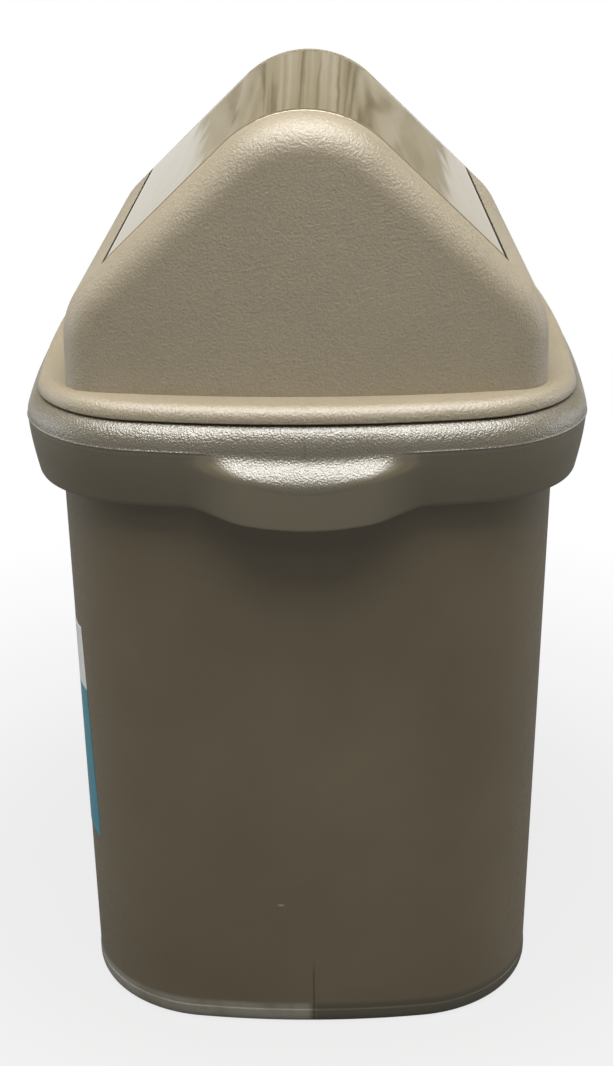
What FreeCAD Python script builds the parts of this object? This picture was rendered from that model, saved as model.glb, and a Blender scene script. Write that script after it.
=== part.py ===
import FreeCAD, Part
import Sketcher
import math
import os

# Swing-lid trash can: a bucket with a rolled collar, a gabled lid frame and a roof flap that swings.
# Frame: +Z up, X across the narrow ends, Y along the ridge, origin under the middle of the base.

# Driving sizes in millimetres and degrees
SIZES = {
    # bucket
    "rim_height": 385,
    "mouth_width": 295,
    "mouth_length": 365,
    "base_width": 276,
    "base_length": 346,
    "mouth_corner": 62,
    "base_corner": 78,
    "end_bow": 500,
    "side_bow": 1500,
    "wall": 2.4,
    "floor_thickness": 3,
    "foot_height": 9,
    "foot_ledge": 0.4,
    "foot_round": 4,
    "foot_ring": 14,
    "foot_recess": 4,
    # collar and carrying grips
    "collar_reach": 17.5,
    "collar_round": 12.5,
    "collar_crown": 13.5,
    "skirt_depth": 48,
    "skirt_tuck": 6,
    "grip_reach": 24.5,
    "grip_radius": 130,
    "grip_dip": 8,
    "grip_wave_width": 116,
    "grip_ledge_top": 19,
    "grip_ledge_bottom": 33,
    # lid frame
    "flange_inset": 6.4,
    "flange_height": 9,
    "flange_round": 7,
    "flange_lip": 0.8,
    "plug_depth": 18,
    "plug_gap": 1.8,
    "throat_corner": 40,
    "gable_width": 269,
    "gable_length": 344,
    "gable_bow": 620,
    "sill_rise": 26.78,
    "sill_lap": 9,
    "ridge_radius": 62,
    "roof_pitch": 44,
    "shoulder_radius": 46,
    "gable_roll": 20,
    # flap and its pivots
    "flap_setback": 28,
    "flap_gap": 1.5,
    "flap_wall": 2.4,
    "pivot_drop": 28,
    "web_drop": 16,
    "hub_radius": 9,
    "hub_length": 8,
    "pin_radius": 4,
    "pin_clearance": 0.06,
    "pin_reach": 13,
    "pin_head_radius": 6.5,
    "pin_head_thickness": 2,
    "boss_radius": 9,
    "boss_gap": 1,
    "stop_peg_radius": 4,
    "stop_peg_overlap": 6,
    "swing_stop": 60.6,
    # label
    "label_length": 268,
    "label_bottom": 103,
    "label_height": 138,
    "label_thickness": 0.25,
    "label_glue": 0.05,
    # room left round cutting shapes
    "cut_margin": 5,
}

# Sizes worked out from the driving sizes
DERIVED = {
    "roof_height": "sizes.rim_height + sizes.flange_height + sizes.sill_rise"
                   " + sizes.shoulder_radius * cos(sizes.roof_pitch * 1 deg)"
                   " + (sizes.gable_width / 2 - sizes.shoulder_radius"
                   " + (sizes.shoulder_radius - sizes.ridge_radius) * sin(sizes.roof_pitch * 1 deg))"
                   " * tan(sizes.roof_pitch * 1 deg)"
                   " + sizes.ridge_radius * (1 - cos(sizes.roof_pitch * 1 deg))",
    "half_mouth_width": "sizes.mouth_width / 2",
    "half_mouth_length": "sizes.mouth_length / 2",
    "half_base_width": "sizes.base_width / 2",
    "half_base_length": "sizes.base_length / 2",
    "inner_mouth_width": "sizes.mouth_width / 2 - sizes.wall",
    "inner_mouth_length": "sizes.mouth_length / 2 - sizes.wall",
    "inner_base_width": "sizes.base_width / 2 - sizes.wall",
    "inner_base_length": "sizes.base_length / 2 - sizes.wall",
    "inner_mouth_corner": "sizes.mouth_corner - sizes.wall",
    "inner_base_corner": "sizes.base_corner - sizes.wall",
    "inner_floor": "sizes.foot_recess + sizes.floor_thickness",
    "above_rim": "sizes.rim_height + sizes.cut_margin",
    "foot_width": "sizes.base_width / 2 + sizes.foot_ledge",
    "foot_length": "sizes.base_length / 2 + sizes.foot_ledge",
    "foot_corner": "sizes.base_corner + sizes.foot_ledge",
    "recess_width": "sizes.base_width / 2 - sizes.foot_ring",
    "recess_length": "sizes.base_length / 2 - sizes.foot_ring",
    "recess_corner": "sizes.base_corner - sizes.foot_ring",
    "collar_width": "sizes.mouth_width / 2 + sizes.collar_reach",
    "collar_length": "sizes.mouth_length / 2 + sizes.collar_reach",
    "collar_corner": "sizes.mouth_corner + sizes.collar_reach",
    "collar_widest": "sizes.rim_height - sizes.collar_crown",
    "skirt_bottom": "sizes.rim_height - sizes.skirt_depth",
    "skirt_width": "sizes.mouth_width / 2 + sizes.collar_reach - sizes.skirt_tuck",
    "skirt_length": "sizes.mouth_length / 2 + sizes.collar_reach - sizes.skirt_tuck",
    "skirt_corner": "sizes.mouth_corner + sizes.collar_reach - sizes.skirt_tuck",
    "hollow_width": "sizes.mouth_width / 2 + sizes.collar_reach - sizes.wall",
    "hollow_length": "sizes.mouth_length / 2 + sizes.collar_reach - sizes.wall",
    "hollow_corner": "sizes.mouth_corner + sizes.collar_reach - sizes.wall",
    "hollow_low_width": "sizes.mouth_width / 2 + sizes.collar_reach - sizes.skirt_tuck - sizes.wall",
    "hollow_low_length": "sizes.mouth_length / 2 + sizes.collar_reach - sizes.skirt_tuck - sizes.wall",
    "hollow_low_corner": "sizes.mouth_corner + sizes.collar_reach - sizes.skirt_tuck - sizes.wall",
    "hollow_top": "sizes.rim_height - sizes.wall",
    "hollow_top_width": "sizes.mouth_width / 2 + sizes.collar_reach - sizes.collar_round + sizes.wall",
    "hollow_top_length": "sizes.mouth_length / 2 + sizes.collar_reach - sizes.collar_round + sizes.wall",
    "hollow_top_corner": "sizes.mouth_corner + sizes.collar_reach - sizes.collar_round + sizes.wall",
    "grip_front": "sizes.mouth_length / 2 + sizes.grip_reach",
    "grip_root": "sizes.mouth_length / 2 + sizes.collar_reach - sizes.wall / 2",
    "grip_chord": "sizes.mouth_length / 2 + sizes.wall",
    "grip_bottom": "sizes.rim_height - sizes.skirt_depth - sizes.grip_dip",
    "grip_below": "sizes.rim_height - sizes.skirt_depth - sizes.grip_dip - sizes.cut_margin",
    "ledge_top": "sizes.rim_height - sizes.grip_ledge_top",
    "ledge_bottom": "sizes.rim_height - sizes.grip_ledge_bottom",
    "finger_front": "sizes.mouth_length / 2 + sizes.grip_reach - sizes.wall",
    "finger_radius": "sizes.grip_radius - sizes.wall",
    "finger_root": "sizes.mouth_length / 2 + sizes.collar_reach - 2 * sizes.wall",
    "finger_top": "sizes.rim_height - sizes.grip_ledge_top - sizes.wall",
    "finger_mid": "sizes.rim_height - sizes.grip_ledge_bottom - sizes.wall",
    "flange_width": "sizes.mouth_width / 2 + sizes.collar_reach - sizes.flange_inset",
    "flange_length": "sizes.mouth_length / 2 + sizes.collar_reach - sizes.flange_inset",
    "flange_corner": "sizes.mouth_corner + sizes.collar_reach - sizes.flange_inset",
    "flange_top": "sizes.rim_height + sizes.flange_height",
    "plug_width": "sizes.mouth_width / 2 - sizes.wall - sizes.plug_gap",
    "plug_length": "sizes.mouth_length / 2 - sizes.wall - sizes.plug_gap",
    "plug_corner": "sizes.mouth_corner - sizes.wall - sizes.plug_gap",
    "plug_inner_width": "sizes.mouth_width / 2 - 2 * sizes.wall - sizes.plug_gap",
    "plug_inner_length": "sizes.mouth_length / 2 - 2 * sizes.wall - sizes.plug_gap",
    "plug_inner_corner": "sizes.mouth_corner - 2 * sizes.wall - sizes.plug_gap",
    "plug_bottom": "sizes.rim_height - sizes.plug_depth",
    "plug_ceiling": "sizes.rim_height + sizes.flange_height - sizes.wall",
    "half_gable_width": "sizes.gable_width / 2",
    "half_gable_length": "sizes.gable_length / 2",
    "core_width": "sizes.gable_width / 2 - sizes.wall",
    "core_length": "sizes.gable_length / 2 - sizes.wall",
    "core_roof": "roof_height - sizes.wall",
    "core_ridge": "sizes.ridge_radius - sizes.wall",
    "core_shoulder": "sizes.shoulder_radius - sizes.wall",
    "core_roll": "sizes.gable_roll - sizes.wall",
    "core_bottom": "sizes.rim_height + sizes.flange_height - 2 * sizes.wall",
    "throat_width": "sizes.gable_width / 2 - 2 * sizes.wall",
    "throat_length": "sizes.gable_length / 2 - 2 * sizes.wall",
    "half_flap_length": "sizes.gable_length / 2 - sizes.flap_setback",
    "half_window_length": "sizes.gable_length / 2 - sizes.flap_setback + sizes.flap_gap",
    "shoulder_start": "sizes.gable_width / 2 - sizes.shoulder_radius"
                      " + sizes.shoulder_radius * sin(sizes.roof_pitch * 1 deg)",
    "window_edge": "shoulder_start - sizes.sill_lap",
    "flap_edge": "shoulder_start - sizes.sill_lap - sizes.flap_gap",
    "pivot_height": "roof_height - sizes.pivot_drop",
    "web_bottom": "roof_height - sizes.pivot_drop - sizes.web_drop",
    "web_ridge": "sizes.ridge_radius - sizes.flap_wall / 2",
    "web_roof": "roof_height - sizes.flap_wall / 2",
    "boss_bore": "sizes.pin_radius + sizes.pin_clearance",
    "label_outer_base_width": "sizes.base_width / 2 + sizes.label_glue + sizes.label_thickness",
    "label_outer_base_length": "sizes.base_length / 2 + sizes.label_glue + sizes.label_thickness",
    "label_outer_mouth_width": "sizes.mouth_width / 2 + sizes.label_glue + sizes.label_thickness",
    "label_outer_mouth_length": "sizes.mouth_length / 2 + sizes.label_glue + sizes.label_thickness",
    "label_outer_base_corner": "sizes.base_corner + sizes.label_glue + sizes.label_thickness",
    "label_outer_mouth_corner": "sizes.mouth_corner + sizes.label_glue + sizes.label_thickness",
    "label_inner_base_width": "sizes.base_width / 2 + sizes.label_glue",
    "label_inner_base_length": "sizes.base_length / 2 + sizes.label_glue",
    "label_inner_mouth_width": "sizes.mouth_width / 2 + sizes.label_glue",
    "label_inner_mouth_length": "sizes.mouth_length / 2 + sizes.label_glue",
    "label_inner_base_corner": "sizes.base_corner + sizes.label_glue",
    "label_inner_mouth_corner": "sizes.mouth_corner + sizes.label_glue",
    "stop_drop": "(sizes.web_drop + sizes.stop_peg_radius) / cos(sizes.swing_stop * 1 deg)",
}

# Largest difference, in millimetres, between a measured size and the one looked for
SLACK = 0.01

doc = FreeCAD.newDocument("swing_lid_trash_can")


def fill_sheet(name, cells, lead):
    """Make a sheet with one aliased row for each cell; lead is the text that goes before each value."""
    sheet = doc.addObject("Spreadsheet::Sheet", name)
    for row, (alias, value) in enumerate(cells.items(), start=1):
        sheet.set(f"A{row}", alias)
        sheet.set(f"B{row}", f"{lead}{value}")
        sheet.setAlias(f"B{row}", alias)
    doc.recompute()
    return sheet


sizes = fill_sheet("sizes", SIZES, "")
derived = fill_sheet("derived", DERIVED, "=")


def number(name):
    """The value of a size, as a plain number."""
    sheet = sizes if name in SIZES else derived
    return float(sheet.get(name))


def cell(name):
    """The expression that reads a size."""
    sheet = "sizes" if name in SIZES else "derived"
    return f"{sheet}.{name}"


def new_body(name):
    body = doc.addObject("PartDesign::Body", name)
    body.Label = name
    return body


def new_sketch(body, name, plane, offset=None):
    """A sketch on one of the body's own planes, moved along the plane's normal by a named size."""
    sketch = body.newObject("Sketcher::SketchObject", name)
    support = [item for item in body.Origin.OriginFeatures if item.Role == plane][0]
    sketch.AttachmentSupport = [(support, "")]
    sketch.MapMode = "FlatFace"
    if offset:
        sketch.setExpression("AttachmentOffset.Base.z", offset)
    return sketch


def hold(sketch, name, constraint, expression):
    """Add a dimension to a sketch and bind it to an expression."""
    index = sketch.addConstraint(constraint)
    sketch.renameConstraint(index, name)
    sketch.setExpression(f"Constraints.{name}", expression)


def flat_arc(centre_x, centre_y, radius, start, end):
    """An arc in a sketch's plane, counter-clockwise from start to end, in radians."""
    circle = Part.Circle(FreeCAD.Vector(centre_x, centre_y, 0), FreeCAD.Vector(0, 0, 1), radius)
    return Part.ArcOfCircle(circle, start, end)


def flat_line(start_x, start_y, end_x, end_y):
    return Part.LineSegment(FreeCAD.Vector(start_x, start_y, 0), FreeCAD.Vector(end_x, end_y, 0))


def corner_centre(half_width, half_length, corner, end_bow, side_bow):
    """Centre of the front right corner arc, which touches the end arc and the side arc from inside."""
    end_centre = FreeCAD.Vector(0, end_bow - half_length, 0)
    side_centre = FreeCAD.Vector(half_width - side_bow, 0, 0)
    between = side_centre - end_centre
    span = between.Length
    end_reach = end_bow - corner
    side_reach = side_bow - corner
    along = (span ** 2 + end_reach ** 2 - side_reach ** 2) / (2 * span)
    across = math.sqrt(end_reach ** 2 - along ** 2)
    unit = between * (1 / span)
    left_of = FreeCAD.Vector(-unit.y, unit.x, 0)
    candidates = [end_centre + unit * along + left_of * (side * across) for side in (1, -1)]
    return [point for point in candidates if point.x > 0 and point.y < 0][0]


def plan_sketch(body, name, half_width, half_length, corner, height):
    """Plan outline at a height: bowed ends, bowed sides and round corners, all tangent arcs."""
    sketch = new_sketch(body, name, "XY_Plane", cell(height) if height else None)
    end_bow = number("end_bow")
    side_bow = number("side_bow")
    end_shift = end_bow - number(half_length)
    side_shift = side_bow - number(half_width)
    radius = number(corner)
    centre = corner_centre(number(half_width), number(half_length), radius, end_bow, side_bow)
    end_angle = math.atan2(centre.y - end_shift, centre.x)
    side_angle = math.atan2(centre.y, centre.x + side_shift)
    turn = math.pi
    arcs = [
        flat_arc(0, end_shift, end_bow, -turn - end_angle, end_angle),
        flat_arc(centre.x, centre.y, radius, end_angle, side_angle),
        flat_arc(-side_shift, 0, side_bow, side_angle, -side_angle),
        flat_arc(centre.x, -centre.y, radius, -side_angle, -end_angle),
        flat_arc(0, -end_shift, end_bow, -end_angle, turn + end_angle),
        flat_arc(-centre.x, -centre.y, radius, turn + end_angle, turn + side_angle),
        flat_arc(side_shift, 0, side_bow, turn + side_angle, turn - side_angle),
        flat_arc(-centre.x, centre.y, radius, turn - side_angle, turn - end_angle),
    ]
    sketch.addGeometry(arcs, False)
    count = len(arcs)
    for index in range(count):
        sketch.addConstraint(Sketcher.Constraint("Tangent", index, 2, (index + 1) % count, 1))
    for index in (0, 4):
        sketch.addConstraint(Sketcher.Constraint("PointOnObject", index, 3, -2))
    for index in (2, 6):
        sketch.addConstraint(Sketcher.Constraint("PointOnObject", index, 3, -1))
    for first, second in ((0, 4), (2, 6), (1, 3), (3, 5), (5, 7)):
        sketch.addConstraint(Sketcher.Constraint("Equal", first, second))
    hold(sketch, "end_bow", Sketcher.Constraint("Radius", 0, end_bow), cell("end_bow"))
    hold(sketch, "side_bow", Sketcher.Constraint("Radius", 2, side_bow), cell("side_bow"))
    hold(sketch, "corner", Sketcher.Constraint("Radius", 1, radius), cell(corner))
    end_text = f"{cell('end_bow')} - {cell(half_length)}"
    side_text = f"{cell('side_bow')} - {cell(half_width)}"
    hold(sketch, "front", Sketcher.Constraint("DistanceY", -1, 1, 0, 3, end_shift), end_text)
    hold(sketch, "rear", Sketcher.Constraint("DistanceY", 4, 3, -1, 1, end_shift), end_text)
    hold(sketch, "right", Sketcher.Constraint("DistanceX", 2, 3, -1, 1, side_shift), side_text)
    hold(sketch, "left", Sketcher.Constraint("DistanceX", -1, 1, 6, 3, side_shift), side_text)
    return sketch


def loft(body, name, kind, sketches):
    """A straight-sided loft through plan outlines; kind is Additive or Subtractive."""
    feature = body.newObject(f"PartDesign::{kind}Loft", name)
    feature.Profile = sketches[0]
    feature.Sections = sketches[1:]
    feature.Ruled = True
    doc.recompute()
    return feature


def extrude(body, name, kind, sketch, length, both_ways=False, flip=False):
    """A Pad or a Pocket of a sketch; length is an expression."""
    feature = body.newObject(f"PartDesign::{kind}", name)
    feature.Profile = sketch
    feature.setExpression("Length", length)
    if both_ways:
        feature.Midplane = True
    feature.Reversed = flip
    doc.recompute()
    return feature


def edge_names(feature, wanted):
    """Names of the edges of a feature that a test accepts."""
    return [f"Edge{index}" for index, edge in enumerate(feature.Shape.Edges, start=1) if wanted(edge)]


def round_edges(body, name, base, wanted, radius):
    feature = body.newObject("PartDesign::Fillet", name)
    feature.Base = (base, edge_names(base, wanted))
    feature.setExpression("Radius", cell(radius))
    doc.recompute()
    return feature


def through(reach):
    """Length of a cut made both ways from the middle that passes a named reach."""
    return f"2 * ({cell(reach)} + {cell('cut_margin')})"


def level(edge, height):
    """True for an edge that lies flat at a height."""
    box = edge.BoundBox
    return abs(box.ZMin - height) < SLACK and abs(box.ZMax - height) < SLACK


def segment_sketch(body, name, front, radius, chord, height, side):
    """A round segment in plan at one narrow end: an arc that reaches to front, closed by a chord."""
    sketch = new_sketch(body, name, "XY_Plane", cell(height))
    bulge = number(radius)
    reach = number(front) - bulge
    rise = math.asin((number(chord) - reach) / bulge)
    half = bulge * math.cos(rise)
    start = rise if side > 0 else math.pi + rise
    end = math.pi - rise if side > 0 else 2 * math.pi - rise
    arc = flat_arc(0, side * reach, bulge, start, end)
    line = flat_line(-side * half, side * number(chord), side * half, side * number(chord))
    sketch.addGeometry([arc, line], False)
    sketch.addConstraint(Sketcher.Constraint("Coincident", 0, 2, 1, 1))
    sketch.addConstraint(Sketcher.Constraint("Coincident", 1, 2, 0, 1))
    sketch.addConstraint(Sketcher.Constraint("PointOnObject", 0, 3, -2))
    sketch.addConstraint(Sketcher.Constraint("Horizontal", 1))
    hold(sketch, "bulge", Sketcher.Constraint("Radius", 0, bulge), cell(radius))
    ends = [(-1, 1), (0, 3)] if side > 0 else [(0, 3), (-1, 1)]
    reach_text = f"{cell(front)} - {cell(radius)}"
    hold(sketch, "reach", Sketcher.Constraint("DistanceY", *ends[0], *ends[1], reach), reach_text)
    ends = [(-1, 1), (1, 1)] if side > 0 else [(1, 1), (-1, 1)]
    hold(sketch, "chord", Sketcher.Constraint("DistanceY", *ends[0], *ends[1], number(chord)), cell(chord))
    return sketch


def wave_sketch(body):
    """What is trimmed below the skirt: a flat edge that dips in an arc under each grip."""
    sketch = new_sketch(body, "skirt_edge_wave", "XZ_Plane")
    half = number("grip_wave_width") / 2
    dip = number("grip_dip")
    edge = number("skirt_bottom")
    below = number("grip_below")
    outer = half + number("grip_radius")
    radius = (half ** 2 + dip ** 2) / (2 * dip)
    spread = math.asin(half / radius)
    down = 1.5 * math.pi
    sketch.addGeometry([
        flat_line(-outer, edge, -half, edge),
        flat_arc(0, edge - dip + radius, radius, down - spread, down + spread),
        flat_line(half, edge, outer, edge),
        flat_line(outer, edge, outer, below),
        flat_line(outer, below, -outer, below),
        flat_line(-outer, below, -outer, edge),
    ], False)
    for first, second in ((0, 1), (1, 2), (2, 3), (3, 4), (4, 5), (5, 0)):
        sketch.addConstraint(Sketcher.Constraint("Coincident", first, 2, second, 1))
    for index in (0, 2, 4):
        sketch.addConstraint(Sketcher.Constraint("Horizontal", index))
    for index in (3, 5):
        sketch.addConstraint(Sketcher.Constraint("Vertical", index))
    sketch.addConstraint(Sketcher.Constraint("Symmetric", 1, 1, 1, 2, -2))
    sketch.addConstraint(Sketcher.Constraint("Equal", 0, 2))
    hold(sketch, "width", Sketcher.Constraint("DistanceX", 1, 1, 1, 2, 2 * half), cell("grip_wave_width"))
    hold(sketch, "edge", Sketcher.Constraint("DistanceY", -1, 1, 0, 1, edge), cell("skirt_bottom"))
    hold(sketch, "below", Sketcher.Constraint("DistanceY", -1, 1, 4, 1, below), cell("grip_below"))
    hold(sketch, "run", Sketcher.Constraint("DistanceX", 2, 1, 2, 2, outer - half), cell("grip_radius"))
    radius_text = (f"({cell('grip_wave_width')} ^ 2 / 4 + {cell('grip_dip')} ^ 2)"
                   f" / (2 * {cell('grip_dip')})")
    hold(sketch, "wave", Sketcher.Constraint("Radius", 1, radius), radius_text)
    return sketch


def make_bin_body():
    """Bucket, rolled collar with its hanging skirt, and a carrying grip at each narrow end."""
    body = new_body("bin_body")
    skirt = plan_sketch(body, "skirt_plan", "skirt_width", "skirt_length", "skirt_corner", "skirt_bottom")
    widest = plan_sketch(body, "collar_plan", "collar_width", "collar_length", "collar_corner",
                         "collar_widest")
    loft(body, "skirt_block", "Additive", [skirt, widest])
    crown = extrude(body, "collar_block", "Pad", widest, cell("collar_crown"))
    rim = number("rim_height")
    round_edges(body, "collar_roll", crown, lambda edge: level(edge, rim), "collar_round")
    for side, end in ((-1, "front"), (1, "rear")):
        sections = [
            segment_sketch(body, f"{end}_grip_root", "grip_root", "grip_radius", "grip_chord",
                           "ledge_top", side),
            segment_sketch(body, f"{end}_grip_ledge", "grip_front", "grip_radius", "grip_chord",
                           "ledge_bottom", side),
            segment_sketch(body, f"{end}_grip_foot", "grip_front", "grip_radius", "grip_chord",
                           "grip_bottom", side),
        ]
        loft(body, f"{end}_grip", "Additive", sections)
    extrude(body, "skirt_edge", "Pocket", wave_sketch(body), through("grip_front"), both_ways=True)
    hollow = [
        plan_sketch(body, "hollow_mouth", "hollow_low_width", "hollow_low_length", "hollow_low_corner",
                    "grip_below"),
        plan_sketch(body, "hollow_low", "hollow_low_width", "hollow_low_length", "hollow_low_corner",
                    "skirt_bottom"),
        plan_sketch(body, "hollow_wide", "hollow_width", "hollow_length", "hollow_corner", "collar_widest"),
        plan_sketch(body, "hollow_roof", "hollow_top_width", "hollow_top_length", "hollow_top_corner",
                    "hollow_top"),
    ]
    loft(body, "collar_hollow", "Subtractive", hollow)
    for side, end in ((-1, "front"), (1, "rear")):
        sections = [
            segment_sketch(body, f"{end}_finger_roof", "finger_root", "finger_radius", "grip_chord",
                           "finger_top", side),
            segment_sketch(body, f"{end}_finger_wide", "finger_front", "finger_radius", "grip_chord",
                           "finger_mid", side),
            segment_sketch(body, f"{end}_finger_mouth", "finger_front", "finger_radius", "grip_chord",
                           "grip_below", side),
        ]
        loft(body, f"{end}_finger_room", "Subtractive", sections)
    base = plan_sketch(body, "base_plan", "half_base_width", "half_base_length", "base_corner", None)
    mouth = plan_sketch(body, "mouth_plan", "half_mouth_width", "half_mouth_length", "mouth_corner",
                        "rim_height")
    loft(body, "bucket", "Additive", [base, mouth])
    foot = plan_sketch(body, "foot_plan", "foot_width", "foot_length", "foot_corner", None)
    band = extrude(body, "foot_band", "Pad", foot, cell("foot_height"))
    round_edges(body, "foot_rounding", band, lambda edge: level(edge, 0), "foot_round")
    inside = [
        plan_sketch(body, "inside_floor", "inner_base_width", "inner_base_length", "inner_base_corner",
                    "inner_floor"),
        plan_sketch(body, "inside_mouth", "inner_mouth_width", "inner_mouth_length", "inner_mouth_corner",
                    "above_rim"),
    ]
    loft(body, "bucket_inside", "Subtractive", inside)
    recess = plan_sketch(body, "recess_plan", "recess_width", "recess_length", "recess_corner", None)
    extrude(body, "foot_recess", "Pocket", recess, cell("foot_recess"), flip=True)
    return body


def roof_outline(sketch, half_width, bottom, roof, ridge, shoulder):
    """House outline in the XZ plane: upright sides, round shoulders, straight flanks, round ridge."""
    pitch = math.radians(number("roof_pitch"))
    across = number(half_width)
    low = number(bottom)
    top = number(roof)
    crest = number(ridge)
    bend = number(shoulder)
    ridge_end = FreeCAD.Vector(crest * math.sin(pitch), top - crest + crest * math.cos(pitch), 0)
    bend_x = across - bend
    flank_x = bend_x + bend * math.sin(pitch)
    flank_y = ridge_end.y - (flank_x - ridge_end.x) * math.tan(pitch)
    bend_y = flank_y - bend * math.cos(pitch)
    upper = math.pi / 2 - pitch
    sketch.addGeometry([
        flat_line(-across, low, across, low),
        flat_line(across, low, across, bend_y),
        flat_arc(bend_x, bend_y, bend, 0, upper),
        flat_line(flank_x, flank_y, ridge_end.x, ridge_end.y),
        flat_arc(0, top - crest, crest, upper, math.pi - upper),
        flat_line(-flank_x, flank_y, -ridge_end.x, ridge_end.y),
        flat_arc(-bend_x, bend_y, bend, math.pi - upper, math.pi),
        flat_line(-across, bend_y, -across, low),
    ], False)
    sketch.addConstraint(Sketcher.Constraint("Coincident", 0, 2, 1, 1))
    sketch.addConstraint(Sketcher.Constraint("Coincident", 7, 2, 0, 1))
    for first, first_end, second, second_end in (
            (1, 2, 2, 1), (2, 2, 3, 1), (3, 2, 4, 1), (4, 2, 5, 2), (5, 1, 6, 1), (6, 2, 7, 1)):
        sketch.addConstraint(Sketcher.Constraint("Tangent", first, first_end, second, second_end))
    for index in (1, 7):
        sketch.addConstraint(Sketcher.Constraint("Vertical", index))
    sketch.addConstraint(Sketcher.Constraint("Symmetric", 0, 1, 0, 2, -2))
    sketch.addConstraint(Sketcher.Constraint("PointOnObject", 4, 3, -2))
    sketch.addConstraint(Sketcher.Constraint("Equal", 2, 6))
    hold(sketch, "width", Sketcher.Constraint("DistanceX", 0, 1, 0, 2, 2 * across), f"2 * {cell(half_width)}")
    hold(sketch, "low", Sketcher.Constraint("DistanceY", -1, 1, 0, 1, low), cell(bottom))
    hold(sketch, "crest", Sketcher.Constraint("Radius", 4, crest), cell(ridge))
    hold(sketch, "bend", Sketcher.Constraint("Radius", 2, bend), cell(shoulder))
    ridge_text = f"{cell(roof)} - {cell(ridge)}"
    hold(sketch, "ridge", Sketcher.Constraint("DistanceY", -1, 1, 4, 3, top - crest), ridge_text)
    pitch_text = f"{cell('roof_pitch')} * 1 deg"
    hold(sketch, "left_pitch", Sketcher.Constraint("Angle", 5, pitch), pitch_text)
    hold(sketch, "right_pitch", Sketcher.Constraint("Angle", 3, math.pi - pitch), f"180 deg - {pitch_text}")


def bow_sketch(body, half_length, half_width):
    """Plan of what is trimmed off both narrow ends so that they bow outwards."""
    sketch = new_sketch(body, f"{body.Name}_bow", "XY_Plane")
    bow = number("gable_bow")
    shift = bow - number(half_length)
    wide = number(half_width) + number("cut_margin")
    far = number(half_length) + 2 * number("cut_margin")
    spread = math.asin(wide / bow)
    edge = bow * math.cos(spread) - shift
    shift_text = f"{cell('gable_bow')} - {cell(half_length)}"
    far_text = f"{cell(half_length)} + 2 * {cell('cut_margin')}"
    wide_text = f"2 * ({cell(half_width)} + {cell('cut_margin')})"
    for side, name in ((-1, "front"), (1, "rear")):
        arc = sketch.GeometryCount
        left, back, right = arc + 1, arc + 2, arc + 3
        middle = math.pi / 2 * side
        sketch.addGeometry([
            flat_arc(0, -side * shift, bow, middle - spread, middle + spread),
            flat_line(-side * wide, side * edge, -side * wide, side * far),
            flat_line(-side * wide, side * far, side * wide, side * far),
            flat_line(side * wide, side * far, side * wide, side * edge),
        ], False)
        for first, second in ((arc, left), (left, back), (back, right), (right, arc)):
            sketch.addConstraint(Sketcher.Constraint("Coincident", first, 2, second, 1))
        sketch.addConstraint(Sketcher.Constraint("Vertical", left))
        sketch.addConstraint(Sketcher.Constraint("Vertical", right))
        sketch.addConstraint(Sketcher.Constraint("Symmetric", arc, 1, arc, 2, -2))
        sketch.addConstraint(Sketcher.Constraint("Horizontal", back))
        hold(sketch, f"{name}_bow", Sketcher.Constraint("Radius", arc, bow), cell("gable_bow"))
        if side < 0:
            reach = Sketcher.Constraint("DistanceY", -1, 1, arc, 3, shift)
            depth = Sketcher.Constraint("DistanceY", back, 1, -1, 1, far)
            width = Sketcher.Constraint("DistanceX", back, 2, back, 1, 2 * wide)
        else:
            reach = Sketcher.Constraint("DistanceY", arc, 3, -1, 1, shift)
            depth = Sketcher.Constraint("DistanceY", -1, 1, back, 1, far)
            width = Sketcher.Constraint("DistanceX", back, 1, back, 2, 2 * wide)
        hold(sketch, f"{name}_reach", reach, shift_text)
        hold(sketch, f"{name}_far", depth, far_text)
        hold(sketch, f"{name}_wide", width, wide_text)
    return sketch


def gable_form(name, half_width, half_length, bottom, roof, ridge, shoulder, roll):
    """A solid of the lid's upper form: a house outline with bowed ends and rolled edges."""
    body = new_body(name)
    sketch = new_sketch(body, f"{name}_outline", "XZ_Plane")
    roof_outline(sketch, half_width, bottom, roof, ridge, shoulder)
    length = f"2 * ({cell(half_length)} + {cell('cut_margin')})"
    extrude(body, f"{name}_block", "Pad", sketch, length, both_ways=True)
    bow = bow_sketch(body, half_length, half_width)
    bowed = extrude(body, f"{name}_ends", "Pocket", bow, through(roof), both_ways=True)
    bow_radius = number("gable_bow")
    end_edges = []
    for face in bowed.Shape.Faces:
        surface = face.Surface
        if surface.TypeId == "Part::GeomCylinder" and abs(surface.Radius - bow_radius) < SLACK:
            end_edges.extend(face.Edges)
    floor = number(bottom)

    def on_rolled_edge(edge):
        return any(edge.isSame(other) for other in end_edges) and not level(edge, floor)

    round_edges(body, f"{name}_roll", bowed, on_rolled_edge, roll)
    return body


def cylinder_along_y(name, radius, length, start, height):
    """A cylinder whose axis runs towards +Y from start; all four are expressions."""
    solid = doc.addObject("Part::Cylinder", name)
    turned = FreeCAD.Rotation(FreeCAD.Vector(1, 0, 0), -90)
    solid.Placement = FreeCAD.Placement(FreeCAD.Vector(0, 0, 0), turned)
    solid.setExpression("Radius", radius)
    solid.setExpression("Height", length)
    solid.setExpression("Placement.Base.y", start)
    solid.setExpression("Placement.Base.z", height)
    return solid


def joined(name, shapes):
    result = doc.addObject("Part::MultiFuse", name)
    result.Shapes = shapes
    return result


def cut_away(name, base, tool):
    result = doc.addObject("Part::Cut", name)
    result.Base = base
    result.Tool = tool
    return result


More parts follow.
